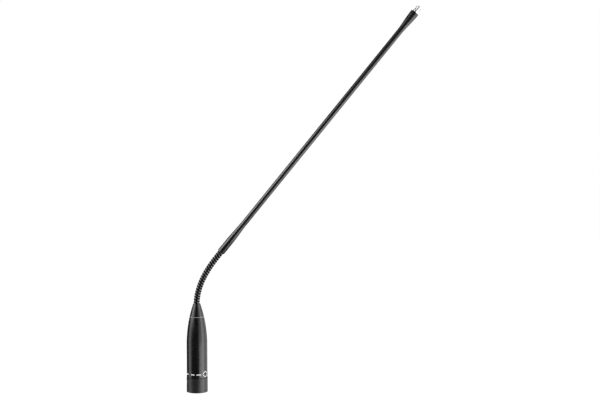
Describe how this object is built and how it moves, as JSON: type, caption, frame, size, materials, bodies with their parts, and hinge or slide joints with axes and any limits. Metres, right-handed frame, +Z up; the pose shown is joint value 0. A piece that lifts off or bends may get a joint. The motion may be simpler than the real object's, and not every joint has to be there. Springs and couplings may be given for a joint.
{
  "type": "gooseneck podium microphone",
  "caption": "Slim podium microphone stem: plug-in base, short wound gooseneck, straight stem and a threaded capsule seat.",
  "frame": {"origin": "centre of the plug shell's rim, on the base's axis", "axes": "+Z up the base's axis, away from the plug's mouth; +X the way the neck and stem lean; the plug's key and latch window face -X"},
  "size_m": [0.2105, 0.019, 0.347],
  "materials": {
    "shell_black": "black satin electrophoretic coat, worn bright at the rim",
    "barrel_black": "black satin baked paint on turned brass",
    "stem_black": "black satin baked paint on drawn tube",
    "winding_black": "black oxide on wound spring wire",
    "nickel": "bright nickel plate",
    "silver_plate": "silver plate on brass pins",
    "gold_plate": "hard gold plate on brass",
    "bare_brass": "turned brass, as machined",
    "spring_steel": "bright spring steel",
    "screw_black": "black oxide",
    "insert_black": "moulded black nylon",
    "insulator_white": "turned white acetal",
    "carrier_ivory": "moulded natural nylon",
    "sleeve_film": "amber insulating film",
    "board_green": "green solder mask on glass epoxy",
    "component_black": "moulded epoxy bodies, tinned legs",
    "component_tan": "copper windings on ferrite bobbins",
    "can_blue": "shrink film over aluminium cans",
    "grommet_rubber": "moulded black rubber",
    "lead_grey": "extruded grey vinyl",
    "core_red": "extruded coloured vinyl",
    "tinned_wire": "tinned copper wire"
  },
  "bodies": {
    "base": {"xlr_shell": "shell_black", "xlr_insert": "insert_black", "contact_pin_1": "silver_plate", "contact_pin_2": "silver_plate", "contact_pin_3": "silver_plate", "ground_tag": "bare_brass", "insert_screw": "screw_black", "housing_barrel": "barrel_black", "nose_cone": "barrel_black", "neck_end_fitting": "bare_brass", "lock_washer": "spring_steel", "clamp_nut": "bare_brass", "lead_grommet": "grommet_rubber", "lead_conductors": "core_red", "pin_wire": "tinned_wire", "circuit_board": "board_green", "board_carrier": "carrier_ivory", "insulating_sleeve": "sleeve_film", "board_chip": "component_black", "board_transistor": "component_black", "board_capacitors": "can_blue", "board_resistors": "component_black", "board_chokes": "component_tan", "neck_coil_00": "winding_black", "neck_lead_00": "lead_grey"},
    "link_01": {"neck_coil_01": "winding_black", "neck_lead_01": "lead_grey"},
    "link_02": {"neck_coil_02": "winding_black", "neck_lead_02": "lead_grey"},
    "link_03": {"neck_coil_03": "winding_black", "neck_lead_03": "lead_grey"},
    "link_04": {"neck_coil_04": "winding_black", "neck_lead_04": "lead_grey"},
    "link_05": {"neck_coil_05": "winding_black", "neck_lead_05": "lead_grey"},
    "link_06": {"neck_coil_06": "winding_black", "neck_lead_06": "lead_grey"},
    "link_07": {"neck_coil_07": "winding_black", "neck_lead_07": "lead_grey"},
    "link_08": {"neck_coil_08": "winding_black", "neck_lead_08": "lead_grey"},
    "link_09": {"neck_coil_09": "winding_black", "neck_lead_09": "lead_grey"},
    "link_10": {"neck_coil_10": "winding_black", "neck_lead_10": "lead_grey"},
    "link_11": {"neck_coil_11": "winding_black", "neck_lead_11": "lead_grey"},
    "stem": {"neck_coil_12": "winding_black", "neck_end_sleeve": "bare_brass", "stem_collar": "stem_black", "stem_tube": "stem_black", "stem_lead": "lead_grey", "capsule_socket": "stem_black", "capsule_thread": "nickel", "tip_insulator": "insulator_white", "contact_barrel": "bare_brass", "contact_spring": "spring_steel"},
    "contact_plunger": {"centre_contact": "gold_plate"}
  },
  "joints": [
    {"name": "neck_bend_1", "type": "hinge", "parent": "base", "child": "link_01", "pos_m": [0, 0, 0.0822], "axis": [0, 1, 0], "range_deg": [-19, 6]},
    {"name": "neck_sway_1", "type": "hinge", "parent": "link_01", "child": "link_02", "pos_m": [0.00054, 0, 0.08657], "axis": [0.9924, 0, -0.1234], "range_deg": [-12.5, 12.5]},
    {"name": "neck_bend_2", "type": "hinge", "parent": "link_02", "child": "link_03", "pos_m": [0.00145, 0, 0.09087], "axis": [0, 1, 0], "range_deg": [-19, 6]},
    {"name": "neck_sway_2", "type": "hinge", "parent": "link_03", "child": "link_04", "pos_m": [0.00268, 0, 0.0951], "axis": [0.9597, 0, -0.2809], "range_deg": [-12.5, 12.5]},
    {"name": "neck_bend_3", "type": "hinge", "parent": "link_04", "child": "link_05", "pos_m": [0.00422, 0, 0.09922], "axis": [0, 1, 0], "range_deg": [-19, 6]},
    {"name": "neck_sway_3", "type": "hinge", "parent": "link_05", "child": "link_06", "pos_m": [0.00602, 0, 0.10323], "axis": [0.9121, 0, -0.4099], "range_deg": [-12.5, 12.5]},
    {"name": "neck_bend_4", "type": "hinge", "parent": "link_06", "child": "link_07", "pos_m": [0.00806, 0, 0.10713], "axis": [0, 1, 0], "range_deg": [-19, 6]},
    {"name": "neck_sway_4", "type": "hinge", "parent": "link_07", "child": "link_08", "pos_m": [0.0103, 0, 0.11092], "axis": [0.8603, 0, -0.5097], "range_deg": [-12.5, 12.5]},
    {"name": "neck_bend_5", "type": "hinge", "parent": "link_08", "child": "link_09", "pos_m": [0.01272, 0, 0.11459], "axis": [0, 1, 0], "range_deg": [-19, 6]},
    {"name": "neck_sway_5", "type": "hinge", "parent": "link_09", "child": "link_10", "pos_m": [0.01527, 0, 0.11818], "axis": [0.8142, 0, -0.5806], "range_deg": [-12.5, 12.5]},
    {"name": "neck_bend", "type": "hinge", "parent": "link_10", "child": "link_11", "pos_m": [0.01794, 0, 0.12168], "axis": [0, 1, 0], "range_deg": [-19, 6]},
    {"name": "neck_sway", "type": "hinge", "parent": "link_11", "child": "stem", "pos_m": [0.02067, 0, 0.12513], "axis": [0.7831, 0, -0.6219], "range_deg": [-12.5, 12.5]},
    {"name": "contact_press", "type": "slide", "parent": "stem", "child": "contact_plunger", "axis": [-0.6293, 0, -0.7771], "range_m": [0, 0.0008], "stiffness_N_per_m": 400, "springref_m": -0.0006, "deforming": ["contact_spring"]}
  ],
  "couplings": [
    {"joint": "neck_bend_1", "follows": "neck_bend", "ratio": 1},
    {"joint": "neck_sway_1", "follows": "neck_sway", "ratio": 1},
    {"joint": "neck_bend_2", "follows": "neck_bend", "ratio": 1},
    {"joint": "neck_sway_2", "follows": "neck_sway", "ratio": 1},
    {"joint": "neck_bend_3", "follows": "neck_bend", "ratio": 1},
    {"joint": "neck_sway_3", "follows": "neck_sway", "ratio": 1},
    {"joint": "neck_bend_4", "follows": "neck_bend", "ratio": 1},
    {"joint": "neck_sway_4", "follows": "neck_sway", "ratio": 1},
    {"joint": "neck_bend_5", "follows": "neck_bend", "ratio": 1},
    {"joint": "neck_sway_5", "follows": "neck_sway", "ratio": 1}
  ]
}
